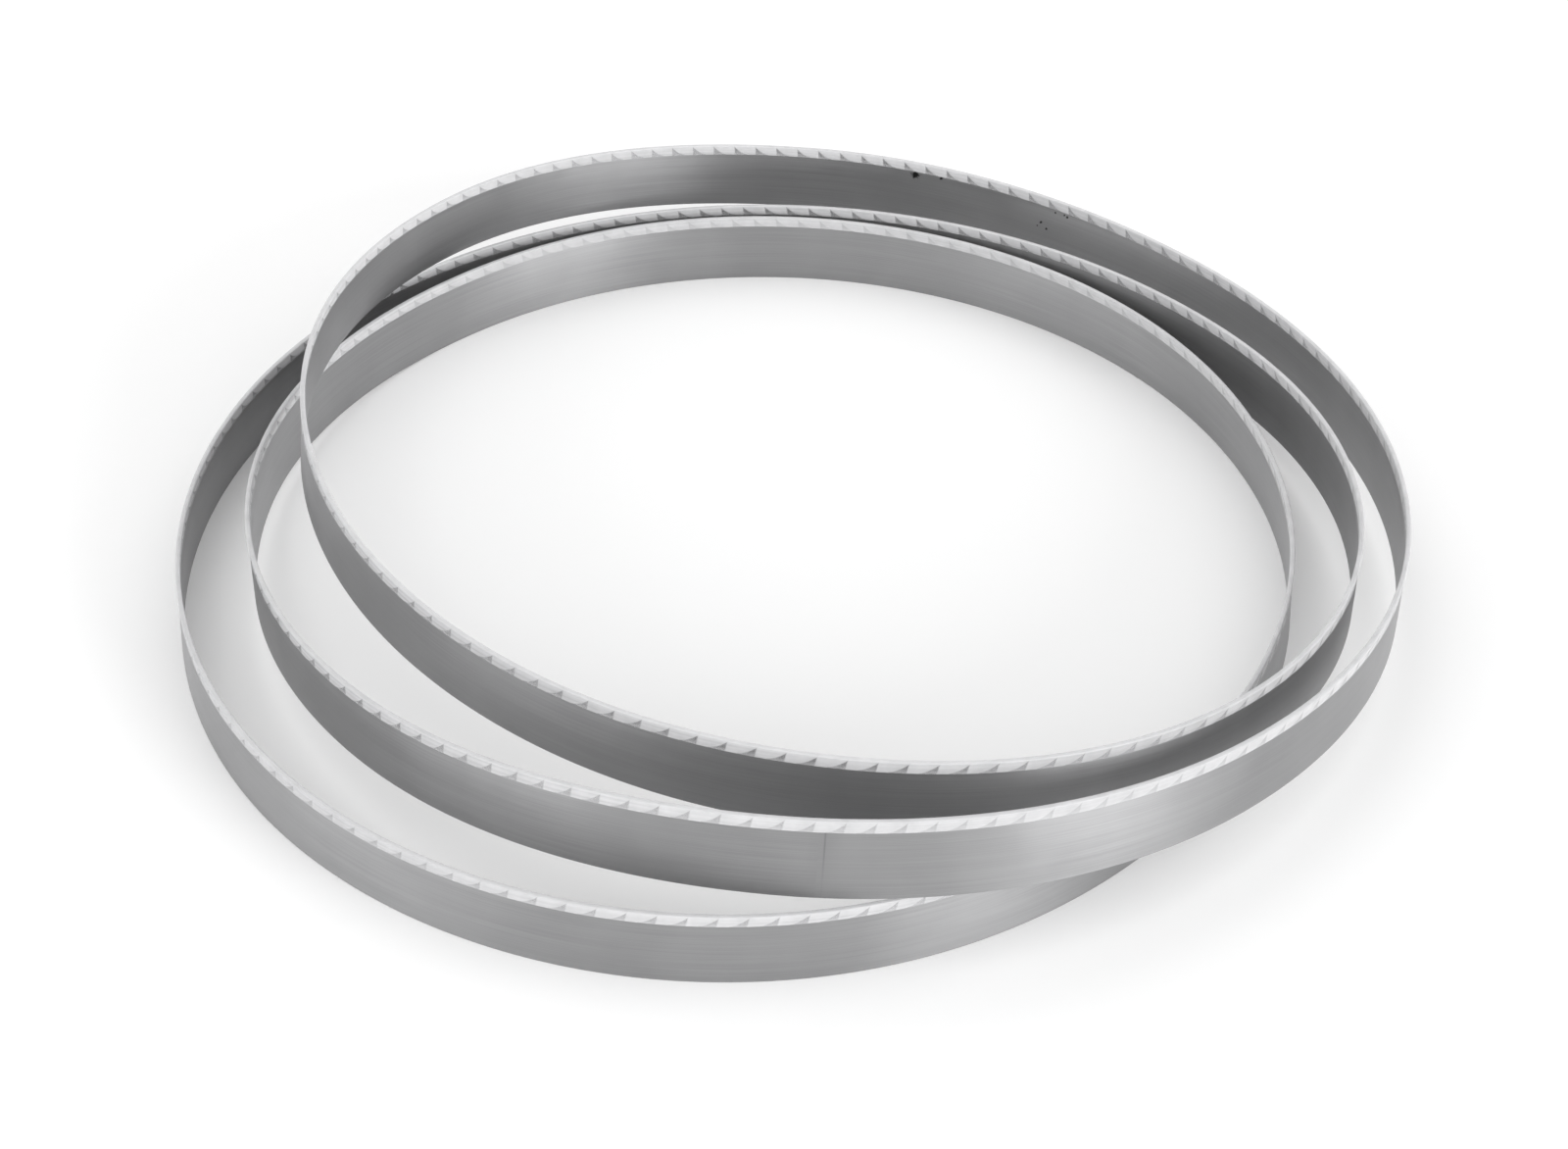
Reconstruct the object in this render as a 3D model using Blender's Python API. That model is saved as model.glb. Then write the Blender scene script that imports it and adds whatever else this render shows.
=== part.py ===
"""Band saw blade with its tooth guard, folded into three loops and lying as it rests.

Metres, +Z up. The closed steel band stands on its back edge with the teeth pointing up, and a
clear plastic strip is pressed over the teeth all round. The origin is on the floor, under the
middle of the coil. The coil runs counterclockwise seen from above, and places along it are
given in turns: 0 is the back of the first loop, 0.25 its left, 0.5 its front, 0.75 its right.
"""
import math

import bmesh
import bpy
import numpy as np
from mathutils import Vector

# Steel band
BAND_HEIGHT = 0.0200            # back edge to tooth tips
BAND_THICKNESS = 0.0006
TOOTH_PITCH = 0.00635           # four teeth to the inch
TOOTH_DEPTH = 0.0025            # gullet to tip
TOOTH_BASE = 0.0038             # heel to foot of one tooth, the rest of the pitch is gullet
RAKE_ANGLE = math.radians(8)    # how far the cutting face leans forward
TOOTH_SET = 0.00012             # how far a set tip is bent to its side
SET_ORDER = (1, -1, 0)          # one tooth out, one in, one straight

# Plastic guard strip
GUARD_WALL = 0.0003
TIP_SLACK = 0.00015             # from the set tips to the strip's inner faces
LEG_SLACK = 0.0002              # from the band's faces to the strip's lower edges
LEG_REACH = 0.0004              # how far the strip reaches down past the gullets
GUARD_RUN = 0.0113              # length of one straight run of the strip
GUARD_GAP = 0.0010              # between the strip's two ends
GUARD_GAP_TURN = 1.15           # where they meet, behind the first loop

# Coil
LOOPS = 3
LOOP_RADIUS = 0.138             # mean distance of the band from the coil's axis
CROSSING_GAP = 0.0004           # between strands where one lies on another
WELD_TURN = 2.51                # where the band's ends are welded, on the third loop's front

# How far the back edge lies outside (+) or inside (-) of LOOP_RADIUS, every eighth of a turn.
# One row is one loop, from its back round by the left, the front and the right.
DRIFTS = (
    (0.0125, 0.0025, -0.0140, -0.0225, -0.0165, -0.0030, 0.0005, -0.0025),
    (-0.0030, 0.0030, 0.0120, 0.0180, 0.0075, -0.0095, -0.0125, -0.0095),
    (-0.0080, -0.0070, -0.0040, -0.0010, 0.0030, 0.0075, 0.0130, 0.0155),
)
# How high the band lies at the same places: 0 is the floor, 1 is on top of a lower strand.
RISES = (
    (0.56, 1.01, 1.19, 1.17, 1.14, 0.94, 0.56, 0.20),
    (0.08, 0.00, 0.00, 0.00, 0.00, 0.00, 0.00, 0.00),
    (0.00, 0.00, 0.22, 0.66, 1.02, 0.84, 0.45, 0.27),
)
# How far the teeth lean outward (+) or inward (-) there, in degrees.
LEANS = (
    (-3.0, -6.0, -4.5, -1.0, -1.0, -2.0, -3.0, -2.0),
    (-3.0, -3.5, -3.0, 0.0, 0.5, -2.5, -6.5, -2.5),
    (0.0, 2.0, 1.0, -0.5, -7.0, -5.0, -2.0, 0.0),
)

# Derived heights, from the band's back edge
GULLET_HEIGHT = BAND_HEIGHT - TOOTH_DEPTH
GUARD_FOOT = GULLET_HEIGHT - LEG_REACH
GUARD_CEILING = BAND_HEIGHT + TIP_SLACK
GUARD_TOP = GUARD_CEILING + GUARD_WALL
STRAND_RISE = GUARD_TOP + CROSSING_GAP

STATIONS_PER_LOOP = len(DRIFTS[0])
SAMPLES_PER_LOOP = 1600         # for measuring the route's length
WELD_MERGE = 0.00001            # joins the bent blank's two ends
SHARP_ANGLE = math.radians(25)


def ring_spline(values):
    """Return the smoothest closed curve through values spaced evenly round a ring."""
    values = np.array(values, dtype=float)
    count = len(values)
    before = np.roll(values, 1)
    after = np.roll(values, -1)
    system = 4 * np.eye(count) + np.roll(np.eye(count), 1, axis=0) + np.roll(np.eye(count), -1, axis=0)
    bends = np.linalg.solve(system, after - 2 * values + before)

    def at(place):
        first = math.floor(place) % count
        second = (first + 1) % count
        v = place - math.floor(place)
        u = 1 - v
        straight = u * values[first] + v * values[second]
        return straight + (u**3 - u) * bends[first] + (v**3 - v) * bends[second]

    return at


def level_curve(values):
    """Return a closed curve through evenly spaced values that stays level between equal ones."""
    values = np.array(values, dtype=float)
    count = len(values)
    slopes = np.zeros(count)
    for i in range(count):
        fall = values[i] - values[i - 1]
        rise = values[(i + 1) % count] - values[i]
        if fall * rise > 0:
            slopes[i] = 2 * fall * rise / (fall + rise)

    def at(place):
        first = math.floor(place) % count
        second = (first + 1) % count
        v = place - math.floor(place)
        ease = v * v * (3 - 2 * v)
        bulge_first = v * (1 - v)**2 * slopes[first]
        bulge_second = v * v * (v - 1) * slopes[second]
        return values[first] * (1 - ease) + values[second] * ease + bulge_first + bulge_second

    return at


class Route:
    """The way of the band round the coil, measured along its back edge."""

    def __init__(self):
        self.drift = ring_spline(sum(DRIFTS, ()))
        self.rise = level_curve(sum(RISES, ()))
        self.lean = ring_spline(sum(LEANS, ()))
        self.turns = np.linspace(0, LOOPS, LOOPS * SAMPLES_PER_LOOP + 1)
        points = np.array([self.foot(turn) for turn in self.turns])
        steps = np.linalg.norm(np.diff(points, axis=0), axis=1)
        self.lengths = np.concatenate(([0.0], np.cumsum(steps)))
        self.length = float(self.lengths[-1])

    def foot(self, turn):
        """Return the point of the back edge at a place given in turns."""
        station = turn * STATIONS_PER_LOOP
        radius = LOOP_RADIUS + self.drift(station)
        angle = math.tau * turn
        height = STRAND_RISE * self.rise(station)
        return Vector((-radius * math.sin(angle), radius * math.cos(angle), height))

    def length_at(self, turn):
        """Return the length along the band from the first loop's back to a place in turns."""
        return float(np.interp(turn, self.turns, self.lengths))

    def bend(self, point):
        """Carry a point of the flat strip (x along, y outward, z up) to its place on the coil."""
        turn = float(np.interp(point.x % self.length, self.lengths, self.turns))
        half_step = 0.5 / SAMPLES_PER_LOOP
        foot = self.foot(turn)
        ahead = (self.foot(turn + half_step) - self.foot(turn - half_step)).normalized()
        outward = ahead.cross(Vector((0, 0, 1))).normalized()
        lean = math.radians(self.lean(turn * STATIONS_PER_LOOP))
        upward = outward.cross(ahead) * math.cos(lean) + outward * math.sin(lean)
        return foot + outward * point.y + upward * point.z


def clear_scene():
    for obj in list(bpy.data.objects):
        bpy.data.objects.remove(obj, do_unlink=True)


def make_material(name, colour, metallic, roughness, alpha=1.0):
    material = bpy.data.materials.new(name)
    material.use_nodes = True
    shader = material.node_tree.nodes["Principled BSDF"]
    shader.inputs["Base Color"].default_value = (*colour, 1.0)
    shader.inputs["Metallic"].default_value = metallic
    shader.inputs["Roughness"].default_value = roughness
    shader.inputs["Alpha"].default_value = alpha
    return material


def steel_material():
    return make_material("blade_steel", (0.48, 0.48, 0.49), 1.0, 0.38)


def guard_material():
    return make_material("guard_plastic", (0.86, 0.87, 0.88), 0.0, 0.45, 0.55)


def object_from(bm, name, material, parent):
    """Turn a finished bmesh into a named object with its material."""
    bmesh.ops.recalc_face_normals(bm, faces=bm.faces)
    mesh = bpy.data.meshes.new(name)
    bm.to_mesh(mesh)
    bm.free()
    mesh.materials.append(material)
    mesh.shade_smooth()
    mesh.set_sharp_from_angle(angle=SHARP_ANGLE)
    obj = bpy.data.objects.new(name, mesh)
    bpy.context.scene.collection.objects.link(obj)
    obj.parent = parent
    return obj


def bend_all(bm, route):
    for vertex in bm.verts:
        vertex.co = route.bend(vertex.co)


def toothed_sheet(bm, start, count, pitch):
    """Lay the band's inner face flat, one tooth and one gullet after the other."""
    lean_forward = TOOTH_DEPTH * math.tan(RAKE_ANGLE)
    inner = -BAND_THICKNESS / 2

    def column(x):
        return (bm.verts.new((x, inner, 0)), bm.verts.new((x, inner, GULLET_HEIGHT)))

    heel = column(start)
    for tooth in range(count):
        x = start + tooth * pitch
        foot = column(x + TOOTH_BASE)
        next_heel = column(x + pitch)
        bm.faces.new((heel[0], foot[0], foot[1], heel[1]))
        bm.faces.new((foot[0], next_heel[0], next_heel[1], foot[1]))
        tip = bm.verts.new((x + TOOTH_BASE + lean_forward, inner, BAND_HEIGHT))
        bm.faces.new((heel[1], foot[1], tip))
        heel = next_heel


def blade_blank(start, length):
    """Cut the flat, toothed band: x along it, teeth up, ends still open for the weld."""
    count = round(length / TOOTH_PITCH)
    pitch = length / count
    bm = bmesh.new()
    toothed_sheet(bm, start, count, pitch)
    skin = bmesh.ops.extrude_face_region(bm, geom=list(bm.faces))
    far_side = [item for item in skin["geom"] if isinstance(item, bmesh.types.BMVert)]
    bmesh.ops.translate(bm, verts=far_side, vec=(0, BAND_THICKNESS, 0))
    ends = (start, start + length)
    end_faces = [face for face in bm.faces
                 if any(all(abs(v.co.x - end) < WELD_MERGE for v in face.verts) for end in ends)]
    bmesh.ops.delete(bm, geom=end_faces, context="FACES_ONLY")
    set_teeth(bm, start, pitch)
    return bm


def set_teeth(bm, start, pitch):
    """Bend the tooth tips sideways in their order."""
    for vertex in bm.verts:
        if vertex.co.z > (GULLET_HEIGHT + BAND_HEIGHT) / 2:
            tooth = int((vertex.co.x - start) / pitch)
            vertex.co.y += TOOTH_SET * SET_ORDER[tooth % len(SET_ORDER)]


def make_blade(route, parent):
    """The band: cut flat, bent round the coil and welded end to end."""
    bm = blade_blank(route.length_at(WELD_TURN), route.length)
    bend_all(bm, route)
    bmesh.ops.remove_doubles(bm, verts=bm.verts, dist=WELD_MERGE)
    return object_from(bm, "blade", steel_material(), parent)


def guard_section():
    """Return the strip's U-shaped section as (outward, up) points, round its outline."""
    tip_half = BAND_THICKNESS / 2 + TOOTH_SET + TIP_SLACK
    foot_half = BAND_THICKNESS / 2 + LEG_SLACK
    outer = [(foot_half + GUARD_WALL, GUARD_FOOT), (tip_half + GUARD_WALL, GUARD_TOP)]
    inner = [(tip_half, GUARD_CEILING), (foot_half, GUARD_FOOT)]
    outer_mirrored = [(-y, z) for y, z in reversed(outer)]
    inner_mirrored = [(-y, z) for y, z in reversed(inner)]
    return outer + outer_mirrored + inner_mirrored + inner


def make_guard(route, parent):
    """The strip: its section carried in straight runs from one end to the other."""
    start = route.length_at(GUARD_GAP_TURN) + GUARD_GAP / 2
    length = route.length - GUARD_GAP
    runs = round(length / GUARD_RUN)
    run = length / runs
    # A straight run lies inside the bend by its sagitta, so the ends stand half of it outside.
    sagitta = run**2 / (8 * LOOP_RADIUS)
    bm = bmesh.new()
    rings = []
    for i in range(runs + 1):
        x = start + i * run
        rings.append([bm.verts.new((x, y + sagitta / 2, z)) for y, z in guard_section()])
    for ring, next_ring in zip(rings, rings[1:]):
        for i in range(len(ring)):
            bm.faces.new((ring[i - 1], ring[i], next_ring[i], next_ring[i - 1]))
    bm.faces.new(rings[0])
    bm.faces.new(rings[-1])
    bend_all(bm, route)
    return object_from(bm, "tooth_guard", guard_material(), parent)


def centre_over_origin(parent, pieces):
    """Move the coil so that the middle of its box stands over the origin."""
    points = [vertex.co for piece in pieces for vertex in piece.data.vertices]
    middle_x = (min(p.x for p in points) + max(p.x for p in points)) / 2
    middle_y = (min(p.y for p in points) + max(p.y for p in points)) / 2
    parent.location = (-middle_x, -middle_y, 0)


def main():
    clear_scene()
    coil = bpy.data.objects.new("coil", None)
    bpy.context.scene.collection.objects.link(coil)
    route = Route()
    pieces = [make_blade(route, coil), make_guard(route, coil)]
    centre_over_origin(coil, pieces)


main()
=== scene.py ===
# %% [markdown]
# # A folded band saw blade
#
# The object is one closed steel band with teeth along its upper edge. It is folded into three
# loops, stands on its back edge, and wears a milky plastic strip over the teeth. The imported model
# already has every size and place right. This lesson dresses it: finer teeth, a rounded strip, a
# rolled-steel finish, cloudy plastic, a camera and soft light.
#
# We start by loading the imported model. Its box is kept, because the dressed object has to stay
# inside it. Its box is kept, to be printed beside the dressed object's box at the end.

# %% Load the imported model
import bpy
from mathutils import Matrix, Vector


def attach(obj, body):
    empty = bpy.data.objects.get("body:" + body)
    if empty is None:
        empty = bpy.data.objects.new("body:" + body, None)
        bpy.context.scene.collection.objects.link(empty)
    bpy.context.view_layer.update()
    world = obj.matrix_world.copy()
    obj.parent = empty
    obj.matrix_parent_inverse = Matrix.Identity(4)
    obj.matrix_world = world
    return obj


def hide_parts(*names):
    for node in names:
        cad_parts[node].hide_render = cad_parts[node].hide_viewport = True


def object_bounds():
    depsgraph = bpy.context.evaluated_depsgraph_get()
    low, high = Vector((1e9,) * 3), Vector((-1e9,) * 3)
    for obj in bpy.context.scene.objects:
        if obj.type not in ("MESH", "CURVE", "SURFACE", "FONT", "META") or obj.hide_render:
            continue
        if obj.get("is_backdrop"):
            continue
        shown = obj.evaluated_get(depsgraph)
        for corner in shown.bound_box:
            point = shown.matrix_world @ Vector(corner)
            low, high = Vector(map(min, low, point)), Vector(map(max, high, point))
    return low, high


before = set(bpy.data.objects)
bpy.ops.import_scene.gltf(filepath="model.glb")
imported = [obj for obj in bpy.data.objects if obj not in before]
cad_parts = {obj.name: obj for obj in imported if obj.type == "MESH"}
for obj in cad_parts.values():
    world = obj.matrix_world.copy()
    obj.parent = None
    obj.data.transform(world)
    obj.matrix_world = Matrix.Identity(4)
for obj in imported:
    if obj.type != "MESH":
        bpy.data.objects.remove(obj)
CAD_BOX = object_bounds()
print("nodes in the frame:", sorted(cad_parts))

# %% Tools of the lesson
import math

import bmesh
import bpy
import numpy as np
from mathutils import Matrix, Vector

MM = 0.001
scene = bpy.context.scene

# %% [markdown]
# ## Camera
#
# A camera is described best by what it looks at. The point below lies in the middle of the
# picture, on the floor inside the coil. The camera looks down at it from the front, and it was
# held a little askew, so it is turned about its own line of sight too.

# %% Set up the camera
LOOKS_AT = Vector((-2.80, -9.81, 0.0)) * MM
CAMERA_ELEVATION = math.radians(38.94)
CAMERA_ROLL = math.radians(3.14)
CAMERA_DISTANCE = 676.5 * MM
LENS_MM = 61.55
SENSOR_WIDTH_MM = 36.0
NEAREST_SEEN = 10.0 * MM


def set_camera():
    lens = bpy.data.cameras.new("coil_camera")
    lens.lens = LENS_MM
    lens.sensor_width = SENSOR_WIDTH_MM
    lens.clip_start = NEAREST_SEEN
    camera = bpy.data.objects.new("coil_camera", lens)
    scene.collection.objects.link(camera)
    away = Vector((0, -math.cos(CAMERA_ELEVATION), math.sin(CAMERA_ELEVATION)))
    tilt = Matrix.Rotation(math.pi / 2 - CAMERA_ELEVATION, 4, "X")
    roll = Matrix.Rotation(CAMERA_ROLL, 4, "Z")
    camera.matrix_world = Matrix.Translation(LOOKS_AT + away * CAMERA_DISTANCE) @ tilt @ roll
    scene.camera = camera
    return camera


camera = set_camera()
print("camera stands at", [round(v / MM, 1) for v in camera.location], "mm")

# %% [markdown]
# ## The way of the band
#
# A springy band folded into three loops never lies in clean circles. Its way round the coil is
# given at eight places a loop: how far it drifts from the mean circle, how high it climbs where
# it lies on another strand, and how far its teeth lean outward. The height is counted in strand
# rises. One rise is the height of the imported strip's top with a little air above it, so that one
# strand clears the next. The last rows say how closely the plastic strip hugs the teeth there,
# from 0 to 1. Places along the band are given in turns. 0 is the back of the first loop, 0.25 its
# left, 0.5 its front and 0.75 its right.

# %% Sizes of the band, its strip and the coil
BAND_HEIGHT = 20.0 * MM
BAND_THICKNESS = 0.6 * MM
TOOTH_PITCH = 6.35 * MM
TOOTH_DEPTH = 2.5 * MM
TOOTH_BASE = 3.8 * MM
RAKE_ANGLE = math.radians(8)
TOOTH_SET = 0.12 * MM
SET_ORDER = (1, -1, 0)
GULLET_HEIGHT = BAND_HEIGHT - TOOTH_DEPTH
TIP_X = TOOTH_BASE + TOOTH_DEPTH * math.tan(RAKE_ANGLE)

STRIP_WALL = 0.15 * MM
TIP_SLACK = 0.05 * MM
LEG_SLACK = 0.05 * MM
LEG_REACH = 0.2 * MM
STRIP_GAP = 1.0 * MM
STRIP_GAP_TURN = 1.15
STRIP_FOOT = GULLET_HEIGHT - LEG_REACH

LOOPS = 3
LOOP_RADIUS = 138.0 * MM
COIL_AXIS = Vector((-0.3123, -1.4303, 0.0)) * MM
STRAND_RISE = 20.85 * MM
WELD_TURN = 2.51

DRIFTS_MM = (
    (12.5, 2.5, -14.0, -22.5, -16.5, -3.0, 0.5, -2.5),
    (-3.0, 3.0, 12.0, 18.0, 7.5, -9.5, -12.5, -9.5),
    (-8.0, -7.0, -4.0, -1.0, 3.0, 7.5, 13.0, 15.5),
)
RISES = (
    (0.56, 1.01, 1.19, 1.17, 1.14, 0.94, 0.56, 0.20),
    (0.08, 0.00, 0.00, 0.00, 0.00, 0.00, 0.00, 0.00),
    (0.00, 0.00, 0.22, 0.66, 1.02, 0.84, 0.45, 0.27),
)
LEANS_DEG = (
    (-3.0, -6.0, -4.5, -1.0, -1.0, -2.0, -3.0, -2.0),
    (-3.0, -3.5, -3.0, 0.0, 0.5, -2.5, -6.5, -2.5),
    (0.0, 2.0, 1.0, -0.5, -7.0, -5.0, -2.0, 0.0),
)
HUGS = (
    (1.00, 0.45, 0.40, 0.80, 1.00, 0.50, 0.30, 0.90),
    (1.00, 0.90, 0.40, 0.40, 0.60, 0.50, 0.40, 0.15),
    (0.15, 0.15, 0.50, 1.00, 0.50, 0.20, 0.20, 0.90),
)
STATIONS = len(DRIFTS_MM[0])

# %% [markdown]
# A row of values becomes a curve in two ways. Drift and lean take the smoothest closed curve
# through their values, as a bent spring does. Height takes a curve that stays level between
# equal values, because a band that lies on the floor can't dip below it. So does the hugging,
# which can't pass 1.

# %% Curves through the stations


def ring_spline(values):
    """The smoothest closed curve through values spaced evenly round a ring."""
    count = len(values)
    eye = np.eye(count)
    system = 4 * eye + np.roll(eye, 1, axis=0) + np.roll(eye, -1, axis=0)
    bends = np.linalg.solve(system, np.roll(values, -1) - 2 * values + np.roll(values, 1))

    def at(place):
        first = np.floor(place).astype(int) % count
        second = (first + 1) % count
        v = place - np.floor(place)
        u = 1 - v
        straight = u * values[first] + v * values[second]
        return straight + (u**3 - u) * bends[first] + (v**3 - v) * bends[second]

    return at


def level_curve(values):
    """A closed curve through values that stays level between equal ones."""
    count = len(values)
    falls = values - np.roll(values, 1)
    climbs = np.roll(values, -1) - values
    same_way = falls * climbs > 0
    slopes = np.zeros(count)
    slopes[same_way] = (2 * falls * climbs)[same_way] / (falls + climbs)[same_way]

    def at(place):
        first = np.floor(place).astype(int) % count
        second = (first + 1) % count
        v = place - np.floor(place)
        ease = v * v * (3 - 2 * v)
        bulges = v * (1 - v)**2 * slopes[first] + v * v * (v - 1) * slopes[second]
        return values[first] * (1 - ease) + values[second] * ease + bulges

    return at


drift_at = ring_spline(np.ravel(DRIFTS_MM) * MM)
rise_at = level_curve(np.ravel(RISES) * STRAND_RISE)
lean_at = ring_spline(np.radians(np.ravel(LEANS_DEG)))
hug_at = level_curve(np.ravel(HUGS))
print("stations round the coil:", LOOPS * STATIONS)

# %% [markdown]
# The back edge's foot follows from the curves. With its length measured, a flat strip can be
# bent round the coil: a point's x becomes the way along the band, its y points outward and its z
# points up the band's height. So both pieces are modelled flat, where that is easy, and bent at
# the end, as the real band was.

# %% Measure the way and bend along it
WAY_SAMPLES = 1600 * LOOPS
HALF_STEP = 0.5 * LOOPS / WAY_SAMPLES


def foot_at(turns):
    """Points of the back edge at places in turns, one row each."""
    radius = LOOP_RADIUS + drift_at(turns * STATIONS)
    angle = math.tau * turns
    height = rise_at(turns * STATIONS)
    return np.column_stack((-radius * np.sin(angle), radius * np.cos(angle), height))


way_turns = np.linspace(0, LOOPS, WAY_SAMPLES + 1)
way_steps = np.linalg.norm(np.diff(foot_at(way_turns), axis=0), axis=1)
way_lengths = np.concatenate(([0.0], np.cumsum(way_steps)))
BAND_LENGTH = float(way_lengths[-1])


def length_at(turn):
    """How far along the band a place in turns lies."""
    return float(np.interp(turn, way_turns, way_lengths))


def bend_round_coil(bm):
    """Bend a flat strip: x goes along the band, y outward and z up."""
    flat = np.array([vertex.co for vertex in bm.verts])
    turns = np.interp(flat[:, 0] % BAND_LENGTH, way_lengths, way_turns)
    ahead = foot_at(turns + HALF_STEP) - foot_at(turns - HALF_STEP)
    ahead /= np.linalg.norm(ahead, axis=1)[:, None]
    outward = np.cross(ahead, (0, 0, 1))
    outward /= np.linalg.norm(outward, axis=1)[:, None]
    lean = lean_at(turns * STATIONS)[:, None]
    upward = np.cross(outward, ahead) * np.cos(lean) + outward * np.sin(lean)
    bent = foot_at(turns) + outward * flat[:, 1:2] + upward * flat[:, 2:3] + np.array(COIL_AXIS)
    for vertex, place in zip(bm.verts, bent):
        vertex.co = place


TEETH = round(BAND_LENGTH / TOOTH_PITCH)
PITCH = BAND_LENGTH / TEETH
WELD_AT = length_at(WELD_TURN)
print(f"the band is {BAND_LENGTH:.4f} m long and has {TEETH} teeth")

# %% [markdown]
# ## Helpers for both pieces
#
# Both pieces repeat one short cell hundreds of times. The cell is made once, copied along X and
# merged. While it is still flat, each piece gets a UV map in metres, u along the band and v up
# it, with the outer side counted downward so that the two sides don't share their marks. A finish
# can then run with the grain of the rolled steel or of the drawn plastic, wherever the band turns.

# %% Repeat, unroll and finish a strip
MERGE = 0.004 * MM


def everything(bm):
    return bm.verts[:] + bm.edges[:] + bm.faces[:]


def points_of(geometry):
    """The points among what an operator gave back."""
    return [item for item in geometry if isinstance(item, bmesh.types.BMVert)]


def repeat_along(bm, step, count):
    """Lay count copies of the cell in bm along X and merge where they meet."""
    cell = everything(bm)
    for place in range(1, count):
        copy = points_of(bmesh.ops.duplicate(bm, geom=cell)["geom"])
        bmesh.ops.translate(bm, verts=copy, vec=(place * step, 0, 0))
    bmesh.ops.remove_doubles(bm, verts=bm.verts, dist=MERGE)


def unroll_uv(bm):
    """Keep each point's way along and up the flat strip, in metres, as its UV.

    The outer side is opened downward about the back edge, so its heights are negative.
    """
    bm.normal_update()
    layer = bm.loops.layers.uv.new("unrolled")
    for face in bm.faces:
        side = -1 if face.normal.y > 0.5 else 1
        for loop in face.loops:
            loop[layer].uv = (loop.vert.co.x, side * loop.vert.co.z)


def piece_from(bm, name, sharp_degrees):
    """Turn a bent strip into an object at the origin, smooth apart from its sharp edges."""
    bmesh.ops.recalc_face_normals(bm, faces=bm.faces)
    mesh = bpy.data.meshes.new(name)
    bm.to_mesh(mesh)
    bm.free()
    mesh.shade_smooth()
    mesh.set_sharp_from_angle(angle=math.radians(sharp_degrees))
    piece = bpy.data.objects.new(name, mesh)
    scene.collection.objects.link(piece)
    mesh.calc_loop_triangles()
    print(f"{name}: {len(mesh.vertices)} points, {len(mesh.loop_triangles)} triangles")
    return piece


# %% [markdown]
# ## The toothed band
#
# A band like this is slit from rolled strip. Its teeth are milled or punched, then bent a little
# to one side and the other so the cut is wider than the steel. We draw one tooth as a flat
# outline of ten points, of which three give its back a slight hollow. Vertex bevels round the
# gullet's two corners, as a milling cutter leaves them. Cuts across the cell let it bend, and one
# along it parts the toothed edge from the plain band.

# %% Draw one tooth
GULLET_ROUND = 1.1 * MM
HEEL_ROUND = 0.8 * MM
BACK_STEPS = (0.8, 0.6, 0.35)
BACK_HOLLOW = 1.7
CUTS_PER_TOOTH = 4
CUT_BELOW_GULLET = 0.5 * MM


def tooth_cell():
    """One pitch of the band's inner face, from the middle of a gullet to the next."""
    bm = bmesh.new()
    left = -(PITCH - TOOTH_BASE) / 2
    right = left + PITCH
    back = [(TIP_X * step, GULLET_HEIGHT + TOOTH_DEPTH * step**BACK_HOLLOW) for step in BACK_STEPS]
    outline = [(left, 0), (right, 0), (right, GULLET_HEIGHT), (TOOTH_BASE, GULLET_HEIGHT)]
    outline += [(TIP_X, BAND_HEIGHT), *back, (0, GULLET_HEIGHT), (left, GULLET_HEIGHT)]
    inner = -BAND_THICKNESS / 2
    points = [bm.verts.new((x, inner, z)) for x, z in outline]
    bm.faces.new(points)
    gullet, heel = points[3], points[-2]
    for corner, radius in ((gullet, GULLET_ROUND), (heel, HEEL_ROUND)):
        bmesh.ops.bevel(bm, geom=[corner], offset=radius, segments=4, profile=0.5,
                        affect="VERTICES", material=-1)
    for cut in range(1, CUTS_PER_TOOTH):
        place = (left + PITCH * cut / CUTS_PER_TOOTH, 0, 0)
        bmesh.ops.bisect_plane(bm, geom=everything(bm), plane_co=place, plane_no=(1, 0, 0))
    level = (0, 0, GULLET_HEIGHT - CUT_BELOW_GULLET)
    bmesh.ops.bisect_plane(bm, geom=everything(bm), plane_co=level, plane_no=(0, 0, 1))
    return bm


# %% [markdown]
# The cell is laid in a row, given the steel's thickness by one extrusion, and its back edge is
# eased as rolled strip is. Its two ends are opened, so that they can be welded once the strip is
# bent round the coil. The teeth are set, one out, one in and one straight.

# %% Cut, set, bend and weld the band
BACK_EDGE_ROUND = 0.12 * MM


def toothed_strip():
    """The whole band as a flat, straight strip, its teeth not yet set."""
    bm = tooth_cell()
    repeat_along(bm, PITCH, TEETH)
    outer_side = points_of(bmesh.ops.extrude_face_region(bm, geom=bm.faces[:])["geom"])
    bmesh.ops.translate(bm, verts=outer_side, vec=(0, BAND_THICKNESS, 0))
    bmesh.ops.recalc_face_normals(bm, faces=bm.faces)
    back_edges = [edge for edge in bm.edges
                  if all(abs(v.co.z) < MERGE for v in edge.verts)
                  and abs(edge.verts[0].co.y - edge.verts[1].co.y) < MERGE]
    bmesh.ops.bevel(bm, geom=back_edges, offset=BACK_EDGE_ROUND, segments=2, profile=0.5,
                    affect="EDGES", material=-1)
    return bm


def open_ends(bm):
    """Delete the faces that close the strip's two ends, and give back where it starts."""
    ends = (min(v.co.x for v in bm.verts), max(v.co.x for v in bm.verts))
    closing = [face for face in bm.faces
               if any(all(abs(v.co.x - end) < MERGE for v in face.verts) for end in ends)]
    bmesh.ops.delete(bm, geom=closing, context="FACES")
    return ends[0]


def set_teeth(bm, start):
    """Bend the teeth sideways in their order, more towards the tip."""
    for vertex in bm.verts:
        up_the_tooth = (vertex.co.z - GULLET_HEIGHT) / TOOTH_DEPTH
        if up_the_tooth > 0:
            tooth = int((vertex.co.x - start) / PITCH)
            vertex.co.y += TOOTH_SET * up_the_tooth * SET_ORDER[tooth % len(SET_ORDER)]


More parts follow.
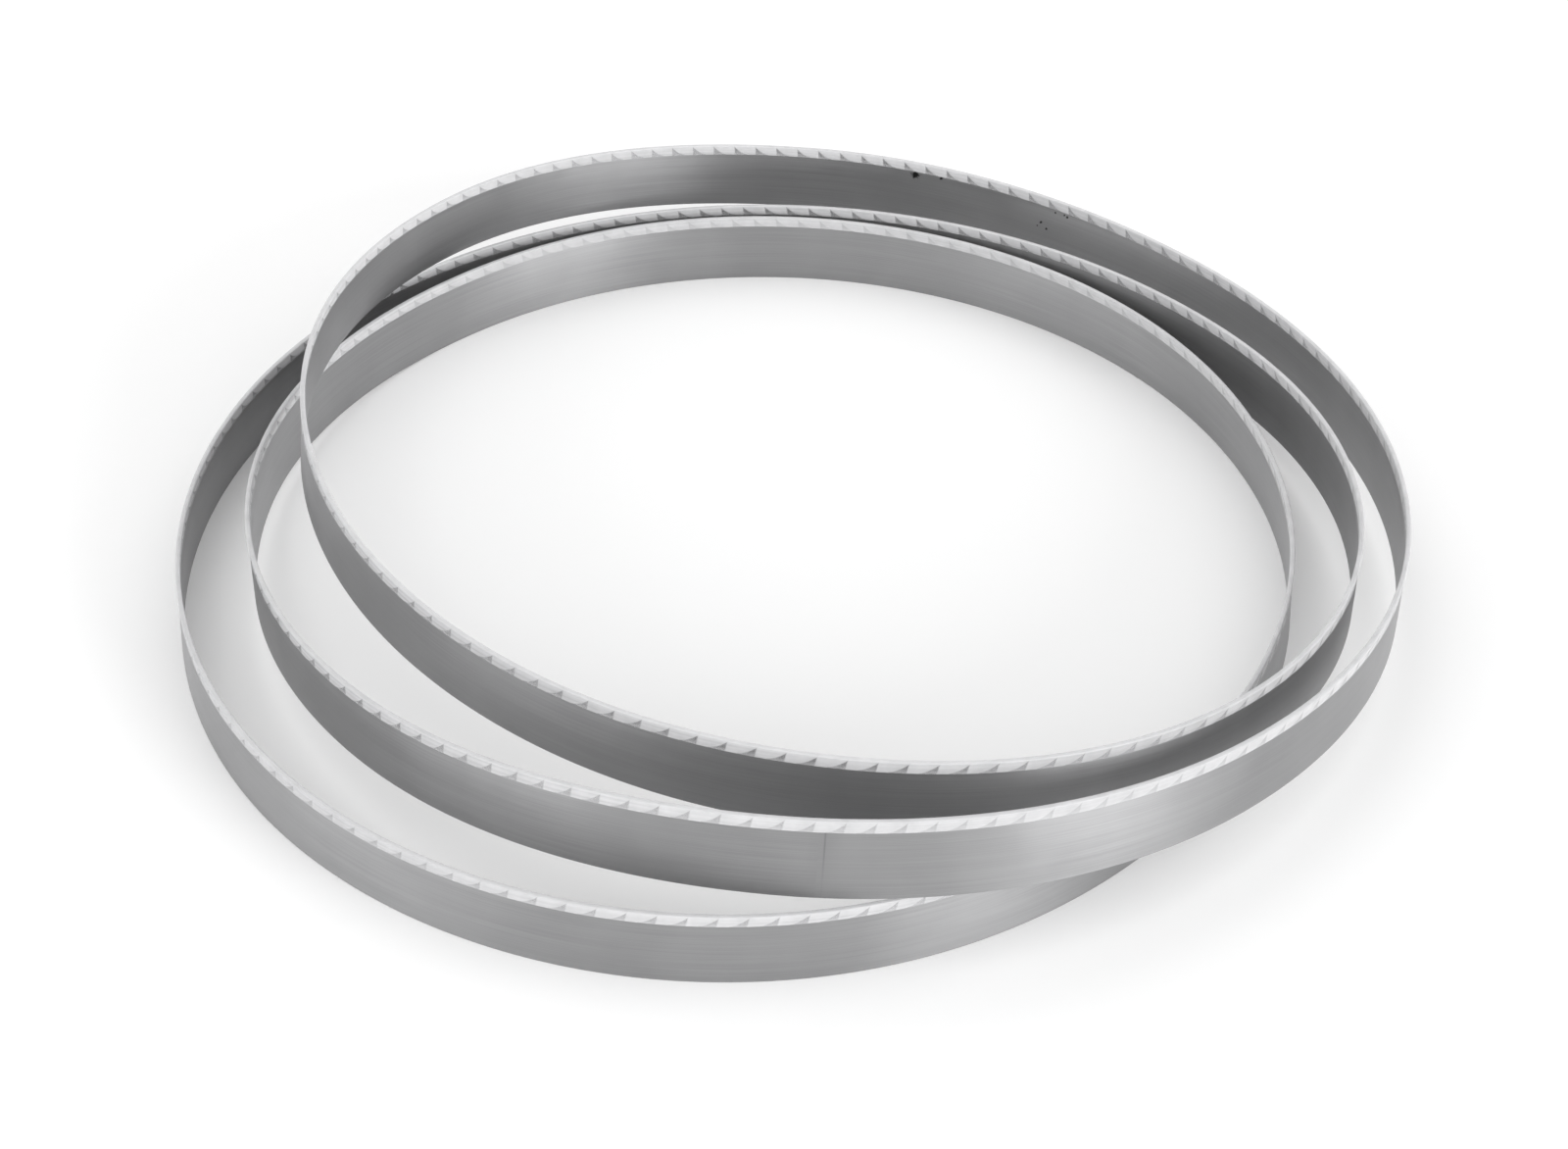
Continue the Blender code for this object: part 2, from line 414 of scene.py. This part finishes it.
def make_band():
    bm = toothed_strip()
    start = open_ends(bm)
    set_teeth(bm, start)
    unroll_uv(bm)
    bmesh.ops.translate(bm, verts=bm.verts, vec=(WELD_AT, 0, 0))
    bend_round_coil(bm)
    bmesh.ops.remove_doubles(bm, verts=bm.verts, dist=MERGE)
    return piece_from(bm, "toothed_band", sharp_degrees=30)


band = make_band()

# %% [markdown]
# ## The plastic strip
#
# The strip is drawn from soft, milky plastic as a long U and pressed over the teeth. The packed
# solid is rigid, so it has a thicker wall and more room round the teeth. Here the strip is as
# thin and as close to the steel as it looks, and so lies inside that solid's outer faces. Its
# section is drawn as three lines on the inner side of the wall. Vertex bevels round the corners,
# an extrusion makes a short run, and the runs are laid in a row. Solidify then grows the wall
# outward, which a negative thickness stands for. The strip's two ends meet behind the first loop,
# with a small gap.

# %% Draw, lay and bend the strip
STRIP_CORNER = 0.15 * MM
STRIP_RUNS_PER_PITCH = 2
STRIP_FROM_WELD = length_at(STRIP_GAP_TURN) + STRIP_GAP / 2 - WELD_AT


def strip_cell(run):
    """A short run of the strip's inner side."""
    bm = bmesh.new()
    tip_half = BAND_THICKNESS / 2 + TOOTH_SET + TIP_SLACK
    foot_half = BAND_THICKNESS / 2 + LEG_SLACK
    ceiling = BAND_HEIGHT + TIP_SLACK
    section = [(foot_half, STRIP_FOOT), (tip_half, ceiling)]
    section += [(-tip_half, ceiling), (-foot_half, STRIP_FOOT)]
    points = [bm.verts.new((0, y, z)) for y, z in section]
    for first, second in zip(points, points[1:]):
        bm.edges.new((first, second))
    bmesh.ops.bevel(bm, geom=points[1:3], offset=STRIP_CORNER, segments=3, profile=0.5,
                    affect="VERTICES", material=-1)
    far_end = points_of(bmesh.ops.extrude_edge_only(bm, edges=bm.edges[:])["geom"])
    bmesh.ops.translate(bm, verts=far_end, vec=(run, 0, 0))
    return bm


def note_hugs(bm):
    """Keep at each point how closely the strip hugs the teeth, as an attribute."""
    layer = bm.verts.layers.float.new("hug")
    ways = np.array([vertex.co.x for vertex in bm.verts]) % BAND_LENGTH
    turns = np.interp(ways, way_lengths, way_turns)
    for vertex, hug in zip(bm.verts, hug_at(turns * STATIONS)):
        vertex[layer] = hug


def make_strip():
    length = BAND_LENGTH - STRIP_GAP
    runs = STRIP_RUNS_PER_PITCH * TEETH
    bm = strip_cell(length / runs)
    repeat_along(bm, length / runs, runs)
    bmesh.ops.recalc_face_normals(bm, faces=bm.faces)
    bmesh.ops.solidify(bm, geom=bm.faces[:], thickness=-STRIP_WALL)
    bmesh.ops.recalc_face_normals(bm, faces=bm.faces)
    bmesh.ops.translate(bm, verts=bm.verts, vec=(STRIP_FROM_WELD, 0, 0))
    unroll_uv(bm)
    heights = [vertex.co.z / MM for vertex in bm.verts]
    print(f"the strip reaches from {min(heights):.2f} to {max(heights):.2f} mm up the band")
    bmesh.ops.translate(bm, verts=bm.verts, vec=(WELD_AT, 0, 0))
    note_hugs(bm)
    bend_round_coil(bm)
    return piece_from(bm, "guard_strip", sharp_degrees=40)


strip = make_strip()

# %% [markdown]
# ## Finishes
#
# Rolled steel and drawn plastic share one trait: faint streaks that run with the length. One
# node group makes them from a noise that is stretched along u. It gives a grey value, which
# each material uses in its own way.

# %% A group for the streaks
STREAK_DETAIL = 3.0


def streak_group():
    """A group that turns a UV into a grey value drawn out along u."""
    tree = bpy.data.node_groups.new("lengthwise_streaks", "ShaderNodeTree")
    sockets = tree.interface
    sockets.new_socket("UV", in_out="INPUT", socket_type="NodeSocketVector")
    sockets.new_socket("Per metre along", in_out="INPUT", socket_type="NodeSocketFloat")
    sockets.new_socket("Per metre across", in_out="INPUT", socket_type="NodeSocketFloat")
    sockets.new_socket("Streaks", in_out="OUTPUT", socket_type="NodeSocketFloat")
    nodes = tree.nodes
    links = tree.links
    inlet = nodes.new("NodeGroupInput")
    outlet = nodes.new("NodeGroupOutput")
    per_metre = nodes.new("ShaderNodeCombineXYZ")
    stretch = nodes.new("ShaderNodeVectorMath")
    stretch.operation = "MULTIPLY"
    noise = nodes.new("ShaderNodeTexNoise")
    noise.inputs["Scale"].default_value = 1.0
    noise.inputs["Detail"].default_value = STREAK_DETAIL
    links.new(inlet.outputs["Per metre along"], per_metre.inputs["X"])
    links.new(inlet.outputs["Per metre across"], per_metre.inputs["Y"])
    links.new(inlet.outputs["UV"], stretch.inputs[0])
    links.new(per_metre.outputs["Vector"], stretch.inputs[1])
    links.new(stretch.outputs["Vector"], noise.inputs["Vector"])
    links.new(noise.outputs["Fac"], outlet.inputs["Streaks"])
    return tree


STREAKS = streak_group()
print("sockets of the streak group:", [item.name for item in STREAKS.interface.items_tree])

# %% [markdown]
# Small helpers keep the materials readable. They add a node and set its values, scale a value
# into a new range, combine or mix two values, blend two colours, and lay streaks or clouds on
# the surface. The last ones make a material with its shader ready and tell where on the band a
# point lies. A noise seldom leaves the middle of its range, so the finishes spread out that
# middle. A Mix node has sockets for each kind of data, and those for colours have no names of
# their own, so they are taken by number.

# %% Helpers for materials
NOISE_MIDDLE = (0.35, 0.65)
MIX_FIRST_COLOUR = 6
MIX_SECOND_COLOUR = 7
MIXED_COLOUR = 2


def add(tree, kind, **values):
    """Add a node and set its inputs by name, or its properties where there is no such input."""
    node = tree.nodes.new(kind)
    for name, value in values.items():
        socket = name.replace("_", " ").title()
        if socket in node.inputs:
            node.inputs[socket].default_value = value
        else:
            setattr(node, name, value)
    return node


def spread(tree, source, low, high, to_low, to_high):
    """Map a value from low..high to to_low..to_high."""
    node = add(tree, "ShaderNodeMapRange", from_min=low, from_max=high,
               to_min=to_low, to_max=to_high)
    tree.links.new(source, node.inputs["Value"])
    return node.outputs["Result"]


def combine(tree, operation, first, second):
    """Combine two values, of which either may be a plain number."""
    node = add(tree, "ShaderNodeMath", operation=operation)
    for socket, value in zip(node.inputs, (first, second)):
        if isinstance(value, (int, float)):
            socket.default_value = value
        else:
            tree.links.new(value, socket)
    return node.outputs["Value"]


def share_out(tree, first, second, share):
    """Mix two values: this share of the first and the rest of the second."""
    some = combine(tree, "MULTIPLY", first, share)
    rest = combine(tree, "MULTIPLY", second, 1.0 - share)
    return combine(tree, "ADD", some, rest)


def blend_colours(tree, factor, first, second):
    """The first colour where the factor is 0 and the second where it is 1."""
    node = add(tree, "ShaderNodeMix", data_type="RGBA")
    tree.links.new(factor, node.inputs["Factor"])
    for number, colour in ((MIX_FIRST_COLOUR, first), (MIX_SECOND_COLOUR, second)):
        if isinstance(colour, tuple):
            node.inputs[number].default_value = (*colour, 1.0)
        else:
            tree.links.new(colour, node.inputs[number])
    return node.outputs[MIXED_COLOUR]


def streaks(tree, uv, along, across):
    """Streaks with this many marks a metre along the band and across it."""
    node = add(tree, "ShaderNodeGroup", node_tree=STREAKS)
    node.inputs["Per metre along"].default_value = along
    node.inputs["Per metre across"].default_value = across
    tree.links.new(uv, node.inputs["UV"])
    return node.outputs["Streaks"]


def clouds(tree, uv, scale, detail):
    """Round clouds, with this many a metre."""
    node = add(tree, "ShaderNodeTexNoise", scale=scale, detail=detail)
    tree.links.new(uv, node.inputs["Vector"])
    return node.outputs["Fac"]


def roughen(tree, shader, height, strength, depth):
    """Let a value raise and lower the surface a little."""
    bump = add(tree, "ShaderNodeBump", strength=strength, distance=depth)
    tree.links.new(height, bump.inputs["Height"])
    tree.links.new(bump.outputs["Normal"], shader.inputs["Normal"])


def new_material(name):
    """A material with its nodes, its shader and the piece's UV map."""
    material = bpy.data.materials.new(name)
    material.use_nodes = True
    tree = material.node_tree
    uv = add(tree, "ShaderNodeUVMap", uv_map="unrolled").outputs["UV"]
    return material, tree, tree.nodes["Principled BSDF"], uv


def way_and_height(tree, uv):
    """The way along the band from the weld and the height up it, on either side."""
    parts = add(tree, "ShaderNodeSeparateXYZ")
    tree.links.new(uv, parts.inputs["Vector"])
    return parts.outputs["X"], combine(tree, "ABSOLUTE", parts.outputs["Y"], 0.0)


# %% [markdown]
# ### Steel
#
# The band is bright, cold-rolled steel with a satin face. Its colour and gloss waver along the
# rolling streaks, and wide, faint clouds cross them. A few dark stains sit at the back of the top
# loop, each given by its turn, its height and its radius in mm. The weld shows as a hair-thin
# darker line that fades down the band, with a breath of ground, duller steel round it. Rolling
# leaves scratches along the band, so its gleam is drawn out across them: that is what the
# anisotropy does. The tangent runs along the band, and the gleam is turned a quarter circle.

# %% Make the steel
STEEL_DARK = (0.32, 0.32, 0.325)
STEEL_LIGHT = (0.395, 0.395, 0.40)
STAIN_COLOUR = (0.03, 0.03, 0.03)
STAINS = (
    (2.970, 16.1, 1.40), (2.962, 16.8, 0.60),
    (2.929, 11.5, 0.50), (2.927, 10.0, 0.45), (2.930, 10.0, 0.30),
    (2.925, 16.2, 0.40), (2.922, 16.4, 0.40), (2.921, 16.1, 0.45),
    (1.589, 0.8, 0.40),
)
STAIN_FRAY_SCALE = 1500.0
STAIN_FRAY = (0.7, 1.3)
STAIN_SOLID = 0.5
WELD_COLOUR = (0.22, 0.22, 0.225)
WELD_HALF = 0.30 * MM
WELD_FADES = (4.0 * MM, 13.0 * MM)
WELD_STRENGTH = (0.1, 0.6)
WELD_GROUND_HALF = 4.0 * MM
WELD_GROUND_DULLER = 0.08
FINE_ROLLING = (25.0, 4500.0)
BROAD_ROLLING = (9.0, 700.0)
FINE_SHARE = 0.7
GRAIN_SHARE = 0.7
STEEL_CLOUDS = 45.0
SHADE_MIDDLE = (0.36, 0.64)
STEEL_ROUGHNESS = (0.39, 0.44)
SCRATCH_STRENGTH = 0.1
SCRATCH_DEPTH = 0.01 * MM
GLEAM_DRAWN_OUT = 0.9
GLEAM_TURNED = 0.25


def near_weld(tree, way, half):
    """1 on the weld's line, falling to 0 at half a width from it."""
    from_weld = combine(tree, "PINGPONG", way, BAND_LENGTH / 2)
    return spread(tree, from_weld, 0.0, half, 1.0, 0.0)


def stains(tree, uv):
    """1 inside the stains, whose rims a noise frays, and 0 outside them."""
    noise = clouds(tree, uv, STAIN_FRAY_SCALE, detail=2.0)
    fray = spread(tree, noise, *NOISE_MIDDLE, *STAIN_FRAY)
    stained = 0.0
    for turn, height_mm, radius_mm in STAINS:
        way_from_weld = (length_at(turn) - WELD_AT) % BAND_LENGTH
        away = add(tree, "ShaderNodeVectorMath", operation="DISTANCE")
        tree.links.new(uv, away.inputs[0])
        away.inputs[1].default_value = (way_from_weld, height_mm * MM, 0.0)
        frayed = combine(tree, "MULTIPLY", away.outputs["Value"], fray)
        inside = spread(tree, frayed, STAIN_SOLID * radius_mm * MM, radius_mm * MM, 1.0, 0.0)
        stained = combine(tree, "MAXIMUM", stained, inside)
    return stained


def make_steel():
    material, tree, shader, uv = new_material("rolled_steel")
    way, height = way_and_height(tree, uv)
    fine = streaks(tree, uv, *FINE_ROLLING)
    broad = streaks(tree, uv, *BROAD_ROLLING)
    grain = share_out(tree, fine, broad, FINE_SHARE)
    shade = share_out(tree, grain, clouds(tree, uv, STEEL_CLOUDS, detail=2.0), GRAIN_SHARE)
    lightness = spread(tree, shade, *SHADE_MIDDLE, 0.0, 1.0)
    colour = blend_colours(tree, lightness, STEEL_DARK, STEEL_LIGHT)
    colour = blend_colours(tree, stains(tree, uv), colour, STAIN_COLOUR)
    strength = spread(tree, height, *WELD_FADES, *WELD_STRENGTH)
    weld = combine(tree, "MULTIPLY", near_weld(tree, way, WELD_HALF), strength)
    colour = blend_colours(tree, weld, colour, WELD_COLOUR)
    tree.links.new(colour, shader.inputs["Base Color"])
    satin = spread(tree, grain, *NOISE_MIDDLE, *STEEL_ROUGHNESS)
    on_ground = near_weld(tree, way, WELD_GROUND_HALF)
    duller = spread(tree, on_ground, 0.0, 1.0, 0.0, WELD_GROUND_DULLER)
    tree.links.new(combine(tree, "ADD", satin, duller), shader.inputs["Roughness"])
    roughen(tree, shader, grain, SCRATCH_STRENGTH, SCRATCH_DEPTH)
    along = add(tree, "ShaderNodeTangent", direction_type="UV_MAP", uv_map="unrolled")
    tree.links.new(along.outputs["Tangent"], shader.inputs["Tangent"])
    shader.inputs["Metallic"].default_value = 1.0
    shader.inputs["Anisotropic"].default_value = GLEAM_DRAWN_OUT
    shader.inputs["Anisotropic Rotation"].default_value = GLEAM_TURNED
    return material


steel = make_steel()
band.data.materials.append(steel)
print(steel.name, "has", len(steel.node_tree.nodes), "nodes")

# %% [markdown]
# ### Milky plastic
#
# The strip is soft translucent plastic, like a binder spine. It is milky rather than clear, so
# it is mixed from a pale surface and see-through. How cloudy it is wavers along its length. Such
# plastic blurs what lies farther behind it, and looks clearest where it touches. So it clears
# over the steel, towards the teeth's tips, and where the strip hugs the band. That draws the
# teeth as grey triangles.
#
# The values named MILK are alphas: MILK over a gullet, MILK_OVER_TEETH over steel that the strip
# stands off from, and MILK_AT_LEGS and MILK_AT_TIPS over steel that it hugs. Alpha counts at
# every surface. A leg of the strip has two, and the whole U has four.

# %% Make the plastic
PLASTIC_PALE = (0.81, 0.81, 0.82)
PLASTIC_GREY = (0.75, 0.75, 0.76)
MILK = 0.60
MILK_OVER_TEETH = 0.52
MILK_AT_LEGS = 0.26
MILK_AT_TIPS = 0.07
MILK_WAVERS = 0.10
CLEARS_FROM = 17.4 * MM
CLEARS_TO = 18.8 * MM
TOOTH_RIM = (-0.10 * MM, 0.25 * MM)
PLASTIC_DRAWN = (12.0, 1500.0)
PLASTIC_CLOUDS = 160.0
DRAWN_SHARE = 0.4
PLASTIC_ROUGHNESS = (0.26, 0.38)
RIPPLE_STRENGTH = 0.2
RIPPLE_DEPTH = 0.03 * MM
PLASTIC_IOR = 1.5


def over_steel(tree, way, height):
    """1 where a tooth or the band stands right behind the plastic, 0 over a gullet or a rim."""
    from_heel = combine(tree, "FLOORED_MODULO", way, PITCH)
    up = combine(tree, "SUBTRACT", height, GULLET_HEIGHT)
    hollow = combine(tree, "POWER", combine(tree, "DIVIDE", from_heel, TIP_X), BACK_HOLLOW)
    under_back = combine(tree, "SUBTRACT", combine(tree, "MULTIPLY", hollow, TOOTH_DEPTH), up)
    rake = combine(tree, "ADD", combine(tree, "MULTIPLY", up, math.tan(RAKE_ANGLE)), TOOTH_BASE)
    behind_rake = combine(tree, "SUBTRACT", rake, from_heel)
    inside = combine(tree, "MINIMUM", under_back, behind_rake)
    return spread(tree, inside, *TOOTH_RIM, 0.0, 1.0)


def make_plastic():
    material, tree, shader, uv = new_material("milky_plastic")
    way, height = way_and_height(tree, uv)
    drawn = streaks(tree, uv, *PLASTIC_DRAWN)
    mixed = share_out(tree, drawn, clouds(tree, uv, PLASTIC_CLOUDS, detail=3.0), DRAWN_SHARE)
    cloudy = spread(tree, mixed, *NOISE_MIDDLE, 0.0, 1.0)
    colour = blend_colours(tree, cloudy, PLASTIC_GREY, PLASTIC_PALE)
    tree.links.new(colour, shader.inputs["Base Color"])
    hugged = spread(tree, height, CLEARS_FROM, CLEARS_TO, MILK_AT_LEGS, MILK_AT_TIPS)
    hug = add(tree, "ShaderNodeAttribute", attribute_name="hug").outputs["Fac"]
    clearing = combine(tree, "MULTIPLY", combine(tree, "SUBTRACT", MILK_OVER_TEETH, hugged), hug)
    over_teeth = combine(tree, "SUBTRACT", MILK_OVER_TEETH, clearing)
    thinning = combine(tree, "MULTIPLY", combine(tree, "SUBTRACT", MILK, over_teeth),
                       over_steel(tree, way, height))
    milk = combine(tree, "SUBTRACT", MILK, thinning)
    wavering = spread(tree, cloudy, 0.0, 1.0, 1.0 - MILK_WAVERS, 1.0 + MILK_WAVERS)
    tree.links.new(combine(tree, "MULTIPLY", milk, wavering), shader.inputs["Alpha"])
    roughness = spread(tree, drawn, *NOISE_MIDDLE, *PLASTIC_ROUGHNESS)
    tree.links.new(roughness, shader.inputs["Roughness"])
    roughen(tree, shader, mixed, RIPPLE_STRENGTH, RIPPLE_DEPTH)
    shader.inputs["IOR"].default_value = PLASTIC_IOR
    return material


plastic = make_plastic()
strip.data.materials.append(plastic)
print(plastic.name, "has", len(plastic.node_tree.nodes), "nodes")

# %% [markdown]
# ## Which solid each piece stands for
#
# Both pieces ride on the one body and replace the plain solids, which stay for collision.

# %% Tie the pieces to the frame
for piece, node, slot in ((band, "blade", "blade_steel"), (strip, "tooth_guard", "guard_plastic")):
    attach(piece, "root")
    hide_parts(node)
    print(f"{piece.name} stands for {node} in {slot}")

# %% [markdown]
# ## Floor and light
#
# The floor is plain and pale. It lights the steel from below as a pale table would, and looks
# white to the camera and in the steel's reflections. It keeps the coil's shadow. The world is
# white to them too, and gives an even light from all round. A faint wide lamp overhead gives the
# shadow its direction. Two softboxes stand low at the right front and the left front. They draw
# the bright gleams on the steel, on its inner face at the back and on its outer face at the
# front.

# %% Lay the floor
FLOOR_HALF = 4.0
FLOOR_DROP = 0.05 * MM
FLOOR_PALE = 0.82
FLOOR_ROUGHNESS = 0.9
WHITE = (1.0, 1.0, 1.0)


def seen_directly(tree):
    """1 for rays from the camera, off gloss or through glass, and 0 for all others."""
    path = add(tree, "ShaderNodeLightPath")
    direct = combine(tree, "MAXIMUM", path.outputs["Is Camera Ray"], path.outputs["Is Glossy Ray"])
    return combine(tree, "MAXIMUM", direct, path.outputs["Is Transmission Ray"])


def make_floor():
    bm = bmesh.new()
    bmesh.ops.create_grid(bm, x_segments=1, y_segments=1, size=FLOOR_HALF)
    bmesh.ops.translate(bm, verts=bm.verts, vec=(0, 0, -FLOOR_DROP))
    mesh = bpy.data.meshes.new("pale_floor")
    bm.to_mesh(mesh)
    bm.free()
    floor = bpy.data.objects.new("pale_floor", mesh)
    scene.collection.objects.link(floor)
    material = bpy.data.materials.new("pale_floor")
    material.use_nodes = True
    tree = material.node_tree
    shader = tree.nodes["Principled BSDF"]
    shader.inputs["Roughness"].default_value = FLOOR_ROUGHNESS
    shader.inputs["Specular IOR Level"].default_value = 0.0
    pale = blend_colours(tree, seen_directly(tree), (FLOOR_PALE,) * 3, WHITE)
    tree.links.new(pale, shader.inputs["Base Color"])
    mesh.materials.append(material)
    return floor


make_floor()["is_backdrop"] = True
print("the floor is", 2 * FLOOR_HALF, "m wide")

# %% [markdown]
# Each lamp is a sun with a wide disc, so it lights every strand alike, wherever it stands. It is
# given by its strength, how wide it looks, and the way its light comes from. Where one looks
# along the coil, many walls of the strip lie behind each other, so more see-through surfaces
# than usual are followed.

# %% Light the scene
WORLD_LIGHT = 0.90
SEE_THROUGH_WALLS = 32
LAMPS = {
    "overhead_softbox": (0.15, math.radians(50), Vector((-0.25, 0.30, 1.0))),
    "right_softbox": (1.75, math.radians(35), Vector((0.80, -0.60, 0.22))),
    "left_softbox": (0.85, math.radians(45), Vector((-0.85, -0.52, 0.22))),
}


def light_scene():
    world = bpy.data.worlds.new("studio")
    world.use_nodes = True
    tree = world.node_tree
    backdrop = tree.nodes["Background"]
    backdrop.inputs["Color"].default_value = (*WHITE, 1.0)
    brightness = spread(tree, seen_directly(tree), 0.0, 1.0, WORLD_LIGHT, 1.0)
    tree.links.new(brightness, backdrop.inputs["Strength"])
    scene.world = world
    for name, (strength, angle, comes_from) in LAMPS.items():
        lamp = bpy.data.lights.new(name, "SUN")
        lamp.energy = strength
        lamp.angle = angle
        softbox = bpy.data.objects.new(name, lamp)
        softbox.rotation_euler = comes_from.to_track_quat("Z", "Y").to_euler()
        scene.collection.objects.link(softbox)


light_scene()
scene.view_settings.view_transform = "Standard"
scene.cycles.transparent_max_bounces = SEE_THROUGH_WALLS
print("lamps:", sorted(LAMPS))

# %% [markdown]
# ## The size of the coil
#
# The box of the imported coil and that of the dressed one are printed. The dressed coil
# may not be larger than the imported one.

# %% Print the boxes
dressed_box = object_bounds()
for name, corners in (("packed", CAD_BOX), ("dressed", dressed_box)):
    print(name, [[round(v / MM, 2) for v in corner] for corner in corners])
